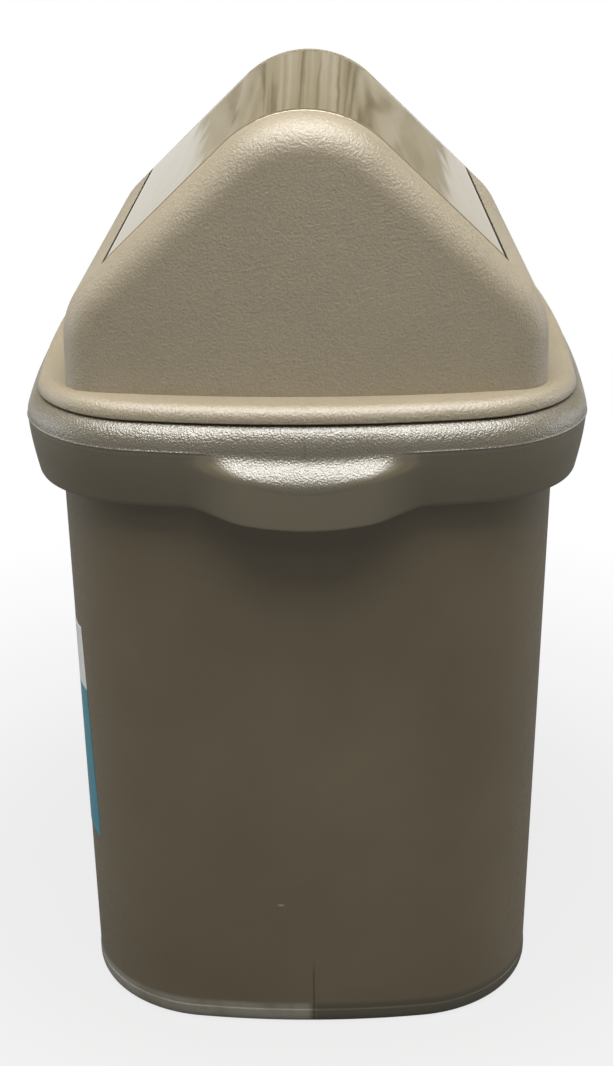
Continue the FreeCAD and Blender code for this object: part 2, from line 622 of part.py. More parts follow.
def make_flange():
    """The lid's seat: a rounded bead that rests on the collar and a plug that drops into the mouth."""
    body = new_body("lid_seat")
    edge = plan_sketch(body, "flange_plan", "flange_width", "flange_length", "flange_corner", "rim_height")
    bead = extrude(body, "flange_bead", "Pad", edge, cell("flange_height"))
    top = number("flange_top")
    rolled = round_edges(body, "flange_roll", bead, lambda side: level(side, top), "flange_round")
    seat = number("rim_height")
    round_edges(body, "flange_seam", rolled, lambda side: level(side, seat), "flange_lip")
    plug = plan_sketch(body, "plug_plan", "plug_width", "plug_length", "plug_corner", "plug_bottom")
    extrude(body, "plug_block", "Pad", plug, cell("plug_depth"))
    inner = plan_sketch(body, "plug_inside", "plug_inner_width", "plug_inner_length", "plug_inner_corner",
                        "plug_bottom")
    depth = f"{cell('plug_ceiling')} - {cell('plug_bottom')}"
    extrude(body, "plug_hollow", "Pocket", inner, depth, flip=True)
    return body


def make_throat():
    """What is cut through the lid's seat, so that the plug stays whole round its corners."""
    body = new_body("lid_throat")
    plan = plan_sketch(body, "throat_plan", "throat_width", "throat_length", "throat_corner", "plug_bottom")
    extrude(body, "throat_block", "Pad", plan, f"{cell('plug_depth')} + {cell('flange_height')}")
    return body


def make_lid_frame():
    """Flange, gable ends with pivot bosses and stop pegs inside, and the long side sills."""
    outside = gable_form("lid_outside", "half_gable_width", "half_gable_length", "rim_height", "roof_height",
                         "ridge_radius", "shoulder_radius", "gable_roll")
    core = gable_form("lid_core", "core_width", "core_length", "core_bottom", "core_roof", "core_ridge",
                      "core_shoulder", "core_roll")
    window = doc.addObject("Part::Box", "flap_window")
    window.setExpression("Length", f"2 * {cell('window_edge')}")
    window.setExpression("Width", f"2 * {cell('half_window_length')}")
    window.setExpression("Height", cell("roof_height"))
    window.setExpression("Placement.Base.x", f"-{cell('window_edge')}")
    window.setExpression("Placement.Base.y", f"-{cell('half_window_length')}")
    window.setExpression("Placement.Base.z", f"{cell('flange_top')} + {cell('cut_margin')}")
    hollowed = cut_away("lid_hollowed", joined("lid_block", [outside, make_flange()]), core)
    shell = cut_away("lid_shell", hollowed, make_throat())
    opened = cut_away("lid_opened", shell, window)
    panel = f"({cell('half_gable_length')} - {cell('wall')} / 2)"
    boss_end = f"({cell('half_flap_length')} + {cell('boss_gap')})"
    peg_end = f"({cell('half_flap_length')} - {cell('stop_peg_overlap')})"
    bore_depth = cell("pin_reach")
    peg_height = f"{cell('pivot_height')} - {cell('stop_drop')}"
    bosses = []
    bores = []
    for end in ("front", "rear"):
        boss_start = f"-{panel}" if end == "front" else boss_end
        peg_start = f"-{panel}" if end == "front" else peg_end
        bore_start = f"-({boss_end} + {bore_depth})" if end == "front" else boss_end
        bosses.append(cylinder_along_y(f"{end}_boss", cell("boss_radius"), f"{panel} - {boss_end}",
                                       boss_start, cell("pivot_height")))
        bosses.append(cylinder_along_y(f"{end}_peg", cell("stop_peg_radius"), f"{panel} - {peg_end}",
                                       peg_start, peg_height))
        bores.append(cylinder_along_y(f"{end}_bore", cell("boss_bore"), bore_depth, bore_start,
                                      cell("pivot_height")))
    carried = joined("lid_with_bosses", [opened] + bosses)
    frame = cut_away("lid_frame", carried, joined("pivot_bores", bores))
    frame.Label = "lid_frame"
    return frame


def flap_profile(sketch):
    """Section of the roof skin: round ridge, two straight flanks, square lower edges."""
    pitch = math.radians(number("roof_pitch"))
    skin = number("flap_wall")
    crest = number("ridge_radius")
    top = number("roof_height")
    centre_y = top - crest
    upper = math.pi / 2 - pitch
    outer_x = crest * math.sin(pitch)
    outer_y = centre_y + crest * math.cos(pitch)
    inner_x = (crest - skin) * math.sin(pitch)
    inner_y = centre_y + (crest - skin) * math.cos(pitch)
    edge_x = number("flap_edge")
    edge_y = outer_y - (edge_x - outer_x) * math.tan(pitch)
    back_x = edge_x - skin * math.sin(pitch)
    back_y = edge_y - skin * math.cos(pitch)
    sketch.addGeometry([
        flat_arc(0, centre_y, crest, upper, math.pi - upper),
        flat_line(-edge_x, edge_y, -outer_x, outer_y),
        flat_line(-edge_x, edge_y, -back_x, back_y),
        flat_line(-back_x, back_y, -inner_x, inner_y),
        flat_arc(0, centre_y, crest - skin, upper, math.pi - upper),
        flat_line(back_x, back_y, inner_x, inner_y),
        flat_line(back_x, back_y, edge_x, edge_y),
        flat_line(edge_x, edge_y, outer_x, outer_y),
    ], False)
    for first, first_end, second, second_end in ((0, 2, 1, 2), (0, 1, 7, 2), (4, 2, 3, 2), (4, 1, 5, 2)):
        sketch.addConstraint(Sketcher.Constraint("Tangent", first, first_end, second, second_end))
    for first, first_end, second, second_end in ((1, 1, 2, 1), (2, 2, 3, 1), (5, 1, 6, 1), (6, 2, 7, 1)):
        sketch.addConstraint(Sketcher.Constraint("Coincident", first, first_end, second, second_end))
    sketch.addConstraint(Sketcher.Constraint("Perpendicular", 1, 2))
    sketch.addConstraint(Sketcher.Constraint("Perpendicular", 7, 6))
    sketch.addConstraint(Sketcher.Constraint("PointOnObject", 0, 3, -2))
    sketch.addConstraint(Sketcher.Constraint("Coincident", 0, 3, 4, 3))
    hold(sketch, "crest", Sketcher.Constraint("Radius", 0, crest), cell("ridge_radius"))
    inner_text = f"{cell('ridge_radius')} - {cell('flap_wall')}"
    hold(sketch, "inner", Sketcher.Constraint("Radius", 4, crest - skin), inner_text)
    ridge_text = f"{cell('roof_height')} - {cell('ridge_radius')}"
    hold(sketch, "ridge", Sketcher.Constraint("DistanceY", -1, 1, 0, 3, centre_y), ridge_text)
    hold(sketch, "right_edge", Sketcher.Constraint("DistanceX", -1, 1, 7, 1, edge_x), cell("flap_edge"))
    hold(sketch, "left_edge", Sketcher.Constraint("DistanceX", 1, 1, -1, 1, edge_x), cell("flap_edge"))
    pitch_text = f"{cell('roof_pitch')} * 1 deg"
    hold(sketch, "left_pitch", Sketcher.Constraint("Angle", 1, pitch), pitch_text)
    hold(sketch, "right_pitch", Sketcher.Constraint("Angle", 7, math.pi - pitch), f"180 deg - {pitch_text}")


def web_sketch(body, name, offset):
    """End wall of the flap: it fills the ridge down to just below the pivot."""
    sketch = new_sketch(body, name, "XZ_Plane", offset)
    pitch = math.radians(number("roof_pitch"))
    crest = number("web_ridge")
    centre_y = number("web_roof") - crest
    low = number("web_bottom")
    upper = math.pi / 2 - pitch
    arc_x = crest * math.sin(pitch)
    arc_y = centre_y + crest * math.cos(pitch)
    low_x = arc_x + (arc_y - low) / math.tan(pitch)
    sketch.addGeometry([
        flat_line(-low_x, low, low_x, low),
        flat_line(low_x, low, arc_x, arc_y),
        flat_arc(0, centre_y, crest, upper, math.pi - upper),
        flat_line(-low_x, low, -arc_x, arc_y),
    ], False)
    sketch.addConstraint(Sketcher.Constraint("Coincident", 0, 2, 1, 1))
    sketch.addConstraint(Sketcher.Constraint("Coincident", 0, 1, 3, 1))
    sketch.addConstraint(Sketcher.Constraint("Tangent", 1, 2, 2, 1))
    sketch.addConstraint(Sketcher.Constraint("Tangent", 2, 2, 3, 2))
    sketch.addConstraint(Sketcher.Constraint("PointOnObject", 2, 3, -2))
    sketch.addConstraint(Sketcher.Constraint("Horizontal", 0))
    hold(sketch, "crest", Sketcher.Constraint("Radius", 2, crest), cell("web_ridge"))
    ridge_text = f"{cell('web_roof')} - {cell('web_ridge')}"
    hold(sketch, "ridge", Sketcher.Constraint("DistanceY", -1, 1, 2, 3, centre_y), ridge_text)
    hold(sketch, "low", Sketcher.Constraint("DistanceY", -1, 1, 0, 1, low), cell("web_bottom"))
    pitch_text = f"{cell('roof_pitch')} * 1 deg"
    hold(sketch, "left_pitch", Sketcher.Constraint("Angle", 3, pitch), pitch_text)
    hold(sketch, "right_pitch", Sketcher.Constraint("Angle", 1, math.pi - pitch), f"180 deg - {pitch_text}")
    return sketch


def pivot_circle(body, name, radius, offset=None):
    """A circle round the pivot axis."""
    sketch = new_sketch(body, name, "XZ_Plane", offset)
    centre = FreeCAD.Vector(0, number("pivot_height"), 0)
    sketch.addGeometry(Part.Circle(centre, FreeCAD.Vector(0, 0, 1), number(radius)), False)
    sketch.addConstraint(Sketcher.Constraint("PointOnObject", 0, 3, -2))
    hold(sketch, "radius", Sketcher.Constraint("Radius", 0, number(radius)), cell(radius))
    hold(sketch, "height", Sketcher.Constraint("DistanceY", -1, 1, 0, 3, centre.y), cell("pivot_height"))
    return sketch


def make_swing_flap():
    """The roof that swings: a bent skin with an end wall and a pin hub at each end."""
    body = new_body("swing_flap")
    profile = new_sketch(body, "flap_profile", "XZ_Plane")
    flap_profile(profile)
    extrude(body, "flap_skin", "Pad", profile, f"2 * {cell('half_flap_length')}", both_ways=True)
    for end, sign, flip in (("front", "", True), ("rear", "-", False)):
        offset = f"{sign}{cell('half_flap_length')}"
        extrude(body, f"{end}_web", "Pad", web_sketch(body, f"{end}_web_shape", offset), cell("flap_wall"),
                flip=flip)
        hub = pivot_circle(body, f"{end}_hub_shape", "hub_radius", offset)
        extrude(body, f"{end}_hub", "Pad", hub, cell("hub_length"), flip=flip)
    bore = pivot_circle(body, "pin_bore_shape", "pin_radius")
    extrude(body, "pin_bores", "Pocket", bore, through("half_flap_length"), both_ways=True)
    return body


def make_pivot_pin(end):
    """A headed pin, pressed through the flap's hub from inside, that turns in the gable's boss."""
    tip = f"({cell('half_flap_length')} + {cell('pin_reach')})"
    seat = f"({cell('half_flap_length')} - {cell('hub_length')})"
    head = cell("pin_head_thickness")
    shank_start = f"-{tip}" if end == "front" else seat
    head_start = f"-{seat}" if end == "front" else f"{seat} - {head}"
    length = f"{cell('pin_reach')} + {cell('hub_length')}"
    height = cell("pivot_height")
    shank = cylinder_along_y(f"{end}_pin_shank", cell("pin_radius"), length, shank_start, height)
    cap = cylinder_along_y(f"{end}_pin_head", cell("pin_head_radius"), head, head_start, height)
    pin = joined(f"pivot_pin_{end}", [shank, cap])
    pin.Label = f"pivot_pin_{end}"
    return pin


def make_side_label(bucket):
    """A thin blank sticker that follows the bucket's left long side round both corners."""
    body = new_body("label_shell")
    skins = []
    for name in ("outer", "inner"):
        skins.append([
            plan_sketch(body, f"label_{name}_base", f"label_{name}_base_width", f"label_{name}_base_length",
                        f"label_{name}_base_corner", None),
            plan_sketch(body, f"label_{name}_mouth", f"label_{name}_mouth_width",
                        f"label_{name}_mouth_length", f"label_{name}_mouth_corner", "rim_height"),
        ])
    loft(body, "label_outer_form", "Additive", skins[0])
    loft(body, "label_inner_form", "Subtractive", skins[1])
    patch = doc.addObject("Part::Box", "label_patch")
    patch.setExpression("Length", cell("collar_width"))
    patch.setExpression("Width", cell("label_length"))
    patch.setExpression("Height", cell("label_height"))
    patch.setExpression("Placement.Base.x", f"-{cell('collar_width')}")
    patch.setExpression("Placement.Base.y", f"-{cell('label_length')} / 2")
    patch.setExpression("Placement.Base.z", cell("label_bottom"))
    strip = doc.addObject("Part::Common", "label_strip")
    strip.Base = body
    strip.Tool = patch
    label = cut_away("side_label", strip, bucket)
    label.Label = "side_label"
    return label


def check_document():
    """Stop if any object failed or any shape is missing or invalid."""
    for item in doc.Objects:
        if "Invalid" in item.State or "Error" in item.State:
            raise RuntimeError(f"{item.Name} failed: {item.State}")


def export(parts):
    """Write each piece to its own file, named after its label."""
    os.makedirs("parts", exist_ok=True)
    for piece in parts:
        shape = piece.Shape
        if shape.isNull() or not shape.isValid():
            raise RuntimeError(f"{piece.Label} has no valid shape")
        print(f"{piece.Label}: {len(shape.Solids)} solid, {shape.Volume:.0f} mm3")
        shape.exportStep(f"parts/{piece.Label}.step")


bin_body = make_bin_body()
pieces = [
    bin_body,
    make_lid_frame(),
    make_swing_flap(),
    make_pivot_pin("front"),
    make_pivot_pin("rear"),
    make_side_label(bin_body),
]
doc.recompute()
check_document()
export(pieces)
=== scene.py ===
import math

import bmesh
import bpy
import numpy as np
from mathutils import Matrix, Vector


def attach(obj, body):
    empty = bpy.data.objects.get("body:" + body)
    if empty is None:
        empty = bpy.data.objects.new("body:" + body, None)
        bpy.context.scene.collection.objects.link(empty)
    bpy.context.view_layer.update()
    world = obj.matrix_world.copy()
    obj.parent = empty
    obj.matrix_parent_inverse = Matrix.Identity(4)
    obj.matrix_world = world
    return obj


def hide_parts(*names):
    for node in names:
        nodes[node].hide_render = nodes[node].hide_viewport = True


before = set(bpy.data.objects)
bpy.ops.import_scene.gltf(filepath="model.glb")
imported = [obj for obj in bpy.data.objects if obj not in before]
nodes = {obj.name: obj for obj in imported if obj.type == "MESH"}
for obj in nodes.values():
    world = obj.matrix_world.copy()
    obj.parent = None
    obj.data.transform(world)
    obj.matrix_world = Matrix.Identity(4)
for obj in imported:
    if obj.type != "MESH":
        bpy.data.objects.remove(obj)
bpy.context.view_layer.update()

# Sizes in metres, as the solids have them
MM = 0.001
RIM = 385 * MM
MOUTH = (147.5 * MM, 182.5 * MM, 62 * MM)
BASE = (138 * MM, 173 * MM, 78 * MM)
END_BOW = 500 * MM
SIDE_BOW = 1500 * MM
WALL = 2.4 * MM

# The studio floor: its radius, its drop under the object, and where its white sweep ends
FLOOR_RADIUS = 14.0
FLOOR_DROP = 0.5 * MM
SWEEP_END = 7.5
SWEEP_FADE = 0.6

# Marks on the bin: where they are across and up, how large they are, and their colours; the dark colour on
# the right of the foot is painted shade
COLLAR_SEAM = -0.5 * MM
COLLAR_SEAM_BOTTOM = 358 * MM
FOOT_SEAM = 1.8 * MM
FOOT_SEAM_TOP = 46 * MM
SEAM_HALF_WIDTH = 0.9 * MM
SEAM_COLOUR = (0.05, 0.04, 0.028)
GLOSS_LINE_MIDDLE = 354 * MM
GLOSS_LINE_END = 370.5 * MM
GLOSS_LINE_REACH = 52 * MM
FOOT_BAND_TOP = 14.5 * MM
PALE_FOOT_COLOUR = (0.25, 0.236, 0.2)
PAINTED_SHADE_FOOT_COLOUR = (0.07, 0.064, 0.05)
TICK_ACROSS = -17.2 * MM
TICK_HEIGHT = 81.5 * MM
TICK_HALF_WIDTH = 2.6 * MM
TICK_HALF_HEIGHT = 0.9 * MM
TICK_COLOUR = (0.5, 0.47, 0.4)

# Colours of the lamps
WARM_WHITE = (1.0, 0.985, 0.955)
COOL_WHITE = (0.94, 0.97, 1.0)


# Materials

def new_material(name):
    """A node material, its node tree and its shader."""
    material = bpy.data.materials.new(name)
    material.use_nodes = True
    tree = material.node_tree
    shader = tree.nodes["Principled BSDF"]
    return material, tree, shader


def coordinates(tree):
    return tree.nodes.new("ShaderNodeTexCoord").outputs["Object"]


def noise(tree, where, scale, detail=2.0, roughness=0.5):
    node = tree.nodes.new("ShaderNodeTexNoise")
    node.inputs["Scale"].default_value = scale
    node.inputs["Detail"].default_value = detail
    node.inputs["Roughness"].default_value = roughness
    tree.links.new(where, node.inputs["Vector"])
    return node.outputs["Fac"]


def ramp(tree, value, stops):
    """A colour ramp; stops are (place, colour)."""
    node = tree.nodes.new("ShaderNodeValToRGB")
    elements = node.color_ramp.elements
    while len(elements) < len(stops):
        elements.new(0.5)
    for element, (place, colour) in zip(elements, stops):
        element.position = place
        element.color = (*colour, 1.0)
    tree.links.new(value, node.inputs["Fac"])
    return node.outputs["Color"]


def span(tree, value, low, high, new_low, new_high):
    """A value mapped from one range to another."""
    node = tree.nodes.new("ShaderNodeMapRange")
    for name, number in (("From Min", low), ("From Max", high), ("To Min", new_low), ("To Max", new_high)):
        node.inputs[name].default_value = number
    tree.links.new(value, node.inputs["Value"])
    return node.outputs["Result"]


def calculate(tree, operation, first, second):
    node = tree.nodes.new("ShaderNodeMath")
    node.operation = operation
    for socket, value in zip(node.inputs, (first, second)):
        if isinstance(value, (int, float)):
            socket.default_value = value
        else:
            tree.links.new(value, socket)
    return node.outputs["Value"]


def bump(tree, height, strength, distance, before=None):
    node = tree.nodes.new("ShaderNodeBump")
    node.inputs["Strength"].default_value = strength
    node.inputs["Distance"].default_value = distance
    tree.links.new(height, node.inputs["Height"])
    if before is not None:
        tree.links.new(before, node.inputs["Normal"])
    return node.outputs["Normal"]


def make_lid_plastic():
    """Pale champagne polypropylene with a pebble grain."""
    material, tree, shader = new_material("lid_plastic")
    where = coordinates(tree)
    grain = noise(tree, where, 720.0, 2.5, 0.55)
    cloud = noise(tree, where, 14.0, 3.0, 0.5)
    mixed = calculate(tree, "ADD", calculate(tree, "MULTIPLY", grain, 0.7),
                      calculate(tree, "MULTIPLY", cloud, 0.3))
    colour = ramp(tree, mixed, ((0.32, (0.226, 0.188, 0.124)), (0.68, (0.306, 0.257, 0.176))))
    tree.links.new(colour, shader.inputs["Base Color"])
    shader.inputs["Specular IOR Level"].default_value = 1.0
    shader.inputs["IOR"].default_value = 1.6
    tree.links.new(span(tree, grain, 0.3, 0.7, 0.44, 0.56), shader.inputs["Roughness"])
    tree.links.new(bump(tree, grain, 0.7, 0.00075), shader.inputs["Normal"])
    return material


def near(tree, value, place, reach):
    """1 at a place along a coordinate, falling to 0 at a reach either side."""
    away = calculate(tree, "ABSOLUTE", calculate(tree, "SUBTRACT", value, place), 0.0)
    return span(tree, away, 0.0, reach, 1.0, 0.0)


def blend(tree, share, first, second):
    """Two colours mixed by a share; either may be a plain triple."""
    node = tree.nodes.new("ShaderNodeMix")
    node.data_type = "RGBA"
    tree.links.new(share, node.inputs["Factor"])
    for name, colour in (("A", first), ("B", second)):
        socket = [item for item in node.inputs if item.name == name and item.type == "RGBA"][0]
        if isinstance(colour, tuple):
            socket.default_value = (*colour, 1.0)
        else:
            tree.links.new(colour, socket)
    return [item for item in node.outputs if item.type == "RGBA"][0]


def make_bin_plastic(name, grained):
    """Satin taupe polypropylene: grained with a mould seam, or smooth with a seam, a paler band on the left
    of the foot, painted shade on the right of the foot, and a tick.
    """
    material, tree, shader = new_material(name)
    where = coordinates(tree)
    split = tree.nodes.new("ShaderNodeSeparateXYZ")
    tree.links.new(where, split.inputs["Vector"])
    across, height = split.outputs["X"], split.outputs["Z"]
    cloud = noise(tree, where, 9.0, 4.0, 0.55)
    if grained:
        colour = ramp(tree, cloud, ((0.3, (0.1, 0.085, 0.05)), (0.7, (0.126, 0.106, 0.066))))
    else:
        colour = ramp(tree, cloud, ((0.3, (0.12, 0.095, 0.057)), (0.7, (0.15, 0.12, 0.074))))
    fine = noise(tree, where, 900.0 if grained else 260.0, 2.0, 0.5)
    seam = near(tree, across, COLLAR_SEAM if grained else FOOT_SEAM, SEAM_HALF_WIDTH)
    if grained:
        shader.inputs["IOR"].default_value = 1.74
        aside = calculate(tree, "MULTIPLY", across, across)
        line = span(tree, aside, 0.0, GLOSS_LINE_REACH ** 2, GLOSS_LINE_MIDDLE, GLOSS_LINE_END)
        above = span(tree, calculate(tree, "SUBTRACT", height, line), -0.004, 0.0005, 0.0, 1.0)
        tree.links.new(span(tree, above, 0.0, 1.0, 0.5, 1.0), shader.inputs["Specular IOR Level"])
        seam_end = span(tree, height, COLLAR_SEAM_BOTTOM, COLLAR_SEAM_BOTTOM + 4 * MM, 0.0, 0.8)
        seam = calculate(tree, "MULTIPLY", seam, seam_end)
        relief = bump(tree, calculate(tree, "MULTIPLY", fine, above), 0.8, 0.0007)
        rough = (0.33, 0.43)
    else:
        shader.inputs["Specular IOR Level"].default_value = 0.65
        seam_end = span(tree, height, FOOT_SEAM_TOP - 12 * MM, FOOT_SEAM_TOP, 1.0, 0.0)
        seam = calculate(tree, "MULTIPLY", seam, seam_end)
        mottle = noise(tree, where, 60.0, 5.0, 0.6)
        foot = span(tree, height, FOOT_BAND_TOP - 2.5 * MM, FOOT_BAND_TOP, 1.0, 0.0)
        # Painted shade: the foot band is darkened on its right half, where the base lies in shade.
        painted_shade_right_foot = calculate(tree, "MULTIPLY", foot, span(tree, across, 0.002, 0.004, 0.0, 0.8))
        colour = blend(tree, painted_shade_right_foot, colour, PAINTED_SHADE_FOOT_COLOUR)
        # A paler band on the left half of the foot, mottled by noise.
        pale_foot_band = calculate(tree, "MULTIPLY", foot, span(tree, across, -0.002, 0.001, 1.0, 0.0))
        pale_foot_band = calculate(tree, "MULTIPLY", pale_foot_band, span(tree, mottle, 0.35, 0.55, 0.55, 1.0))
        colour = blend(tree, pale_foot_band, colour, PALE_FOOT_COLOUR)
        tick = calculate(tree, "MULTIPLY", near(tree, across, TICK_ACROSS, TICK_HALF_WIDTH),
                         near(tree, height, TICK_HEIGHT, TICK_HALF_HEIGHT))
        colour = blend(tree, tick, colour, TICK_COLOUR)
        relief = bump(tree, fine, 0.35, 0.00012)
        rough = (0.32, 0.42)
    colour = blend(tree, seam, colour, SEAM_COLOUR)
    tree.links.new(colour, shader.inputs["Base Color"])
    tree.links.new(span(tree, fine, 0.3, 0.7, *rough), shader.inputs["Roughness"])
    tree.links.new(bump(tree, seam, -0.6, 0.0005, relief), shader.inputs["Normal"])
    return material


def make_flap_gloss():
    """Champagne metallised high gloss, with the faint waviness of a moulded mirror along its length."""
    material, tree, shader = new_material("flap_gloss")
    where = coordinates(tree)
    along = tree.nodes.new("ShaderNodeMapping")
    along.inputs["Scale"].default_value = (1.0, 0.12, 1.0)
    tree.links.new(where, along.inputs["Vector"])
    wave = noise(tree, along.outputs["Vector"], 70.0, 1.5, 0.45)
    cloud = noise(tree, where, 6.0, 2.0, 0.5)
    colour = ramp(tree, cloud, ((0.3, (0.47, 0.42, 0.31)), (0.7, (0.54, 0.485, 0.37))))
    tree.links.new(colour, shader.inputs["Base Color"])
    shader.inputs["Metallic"].default_value = 0.92
    shader.inputs["Specular Tint"].default_value = (0.62, 0.57, 0.45, 1.0)
    shader.inputs["Roughness"].default_value = 0.045
    tree.links.new(bump(tree, wave, 0.3, 0.0006), shader.inputs["Normal"])
    return material


def make_pin_plastic():
    """Natural acetal."""
    material, tree, shader = new_material("pin_plastic")
    where = coordinates(tree)
    cloud = noise(tree, where, 300.0)
    colour = ramp(tree, cloud, ((0.3, (0.62, 0.6, 0.54)), (0.7, (0.72, 0.7, 0.64))))
    tree.links.new(colour, shader.inputs["Base Color"])
    shader.inputs["Roughness"].default_value = 0.4
    return material


def make_label_film():
    """A blank film label: white above, teal below."""
    material, tree, shader = new_material("label_film")
    where = coordinates(tree)
    split = tree.nodes.new("ShaderNodeSeparateXYZ")
    tree.links.new(where, split.inputs["Vector"])
    cloud = noise(tree, where, 40.0)
    height = calculate(tree, "ADD", split.outputs["Z"], calculate(tree, "MULTIPLY", cloud, 0.0006))
    place = span(tree, height, 0.1, 0.25, 0.0, 1.0)
    colour = ramp(tree, place, ((0.67, (0.02, 0.25, 0.36)), (0.68, (0.86, 0.87, 0.87))))
    tree.links.new(colour, shader.inputs["Base Color"])
    shader.inputs["Roughness"].default_value = 0.28
    tree.links.new(bump(tree, cloud, 0.1, 0.0004), shader.inputs["Normal"])
    return material


def make_floor_material():
    """A pale sweep that keeps the object's shadow near it and runs back plain white, on a beige floor."""
    material, tree, shader = new_material("studio_floor")
    where = coordinates(tree)
    cloud = noise(tree, where, 1.5)
    colour = ramp(tree, cloud, ((0.0, (0.16, 0.16, 0.156)), (1.0, (0.19, 0.19, 0.186))))
    tree.links.new(colour, shader.inputs["Base Color"])
    shader.inputs["Roughness"].default_value = 0.85
    split = tree.nodes.new("ShaderNodeSeparateXYZ")
    tree.links.new(where, split.inputs["Vector"])
    length = tree.nodes.new("ShaderNodeVectorMath")
    length.operation = "LENGTH"
    tree.links.new(where, length.inputs[0])
    beyond = span(tree, split.outputs["Y"], SWEEP_END, SWEEP_END + SWEEP_FADE, 0.0, 1.0)
    stretched = tree.nodes.new("ShaderNodeMapping")
    stretched.inputs["Scale"].default_value = (2.4, 0.3, 1.0)
    tree.links.new(where, stretched.inputs["Vector"])
    patches = ramp(tree, noise(tree, stretched.outputs["Vector"], 1.6, 2.0, 0.6), (
        (0.38, (0.42, 0.37, 0.27)), (0.46, (0.62, 0.57, 0.46)),
        (0.58, (0.7, 0.65, 0.53)), (0.66, (0.92, 0.88, 0.78))))
    path = tree.nodes.new("ShaderNodeLightPath")
    glossy = calculate(tree, "MAXIMUM", path.outputs["Is Glossy Ray"], path.outputs["Is Transmission Ray"])
    seen = calculate(tree, "MULTIPLY", path.outputs["Is Camera Ray"],
                     span(tree, length.outputs["Value"], 0.2, 0.65, 0.8, 1.0))
    shown = calculate(tree, "MULTIPLY", glossy, span(tree, length.outputs["Value"], 0.9, 2.0, 0.0, 1.0))
    glow = tree.nodes.new("ShaderNodeEmission")
    tree.links.new(blend(tree, beyond, (1.0, 1.0, 1.0), patches), glow.inputs["Color"])
    both = tree.nodes.new("ShaderNodeMixShader")
    tree.links.new(calculate(tree, "MAXIMUM", seen, shown), both.inputs["Fac"])
    tree.links.new(shader.outputs["BSDF"], both.inputs[1])
    tree.links.new(glow.outputs["Emission"], both.inputs[2])
    tree.links.new(both.outputs["Shader"], tree.nodes["Material Output"].inputs["Surface"])
    return material


lid_plastic = make_lid_plastic()
bin_smooth = make_bin_plastic("bin_plastic", False)
bin_grained = make_bin_plastic("collar_plastic", True)
flap_gloss = make_flap_gloss()
pin_plastic = make_pin_plastic()
label_film = make_label_film()
floor_material = make_floor_material()

NODE_MATERIALS = {
    "bin_body": bin_smooth,
    "lid_frame": lid_plastic,
    "swing_flap": flap_gloss,
    "pivot_pin_front": pin_plastic,
    "pivot_pin_rear": pin_plastic,
    "side_label": label_film,
}
for name, material in NODE_MATERIALS.items():
    mesh = nodes[name].data
    mesh.materials.clear()
    mesh.materials.append(material)


# Meshes

def mix(first, second, share):
    """A point between two triples."""
    return tuple(a + (b - a) * share for a, b in zip(first, second))


def grown(outline, distance):
    """A plan outline (half width, half length, corner radius) moved outwards."""
    return tuple(size + distance for size in outline)


def arc_points(centre, radius, start, end, count):
    angles = np.linspace(start, end, count + 1)
    return np.stack([centre[0] + radius * np.cos(angles), centre[1] + radius * np.sin(angles)], axis=1)


def plan_loop(outline):
    """Points round a plan outline with bowed ends and sides, anticlockwise from the middle of the front."""
    half_width, half_length, corner = outline
    end_centre = np.array([0.0, END_BOW - half_length])
    side_centre = np.array([half_width - SIDE_BOW, 0.0])
    between = side_centre - end_centre
    distance = np.hypot(*between)
    end_reach = END_BOW - corner
    side_reach = SIDE_BOW - corner
    along = (distance ** 2 + end_reach ** 2 - side_reach ** 2) / (2 * distance)
    across = math.sqrt(end_reach ** 2 - along ** 2)
    unit = between / distance
    centre = end_centre + unit * along + np.array([unit[1], -unit[0]]) * across
    if centre[0] < 0 or centre[1] > 0:
        centre = end_centre + unit * along - np.array([unit[1], -unit[0]]) * across
    end_angle = math.atan2(centre[1] - end_centre[1], centre[0])
    side_angle = math.atan2(centre[1], centre[0] - side_centre[0])
    quarter = np.concatenate([
        arc_points(end_centre, END_BOW, -math.pi / 2, end_angle, END_STEPS)[:-1],
        arc_points(centre, corner, end_angle, side_angle, CORNER_STEPS)[:-1],
        arc_points(side_centre, SIDE_BOW, side_angle, 0.0, SIDE_STEPS),
    ])
    rear = quarter[::-1] * (1, -1)
    left = quarter * (-1, -1)
    front = quarter[::-1] * (-1, 1)
    return np.concatenate([quarter[:-1], rear[:-1], left[:-1], front[:-1]])


def smooth_step(value):
    share = np.clip(value, 0.0, 1.0)
    return share * share * (3 - 2 * share)


def mesh_piece(name, points, faces, materials, slots=None):
    """A smooth-shaded mesh object."""
    mesh = bpy.data.meshes.new(name)
    mesh.from_pydata([tuple(point) for point in points], [], faces)
    for material in materials:
        mesh.materials.append(material)
    mesh.polygons.foreach_set("use_smooth", [True] * len(mesh.polygons))
    if slots is not None:
        mesh.polygons.foreach_set("material_index", slots)
    form = bmesh.new()
    form.from_mesh(mesh)
    bmesh.ops.recalc_face_normals(form, faces=form.faces)
    form.to_mesh(mesh)
    form.free()
    mesh.update()
    piece = bpy.data.objects.new(name, mesh)
    bpy.context.scene.collection.objects.link(piece)
    return piece


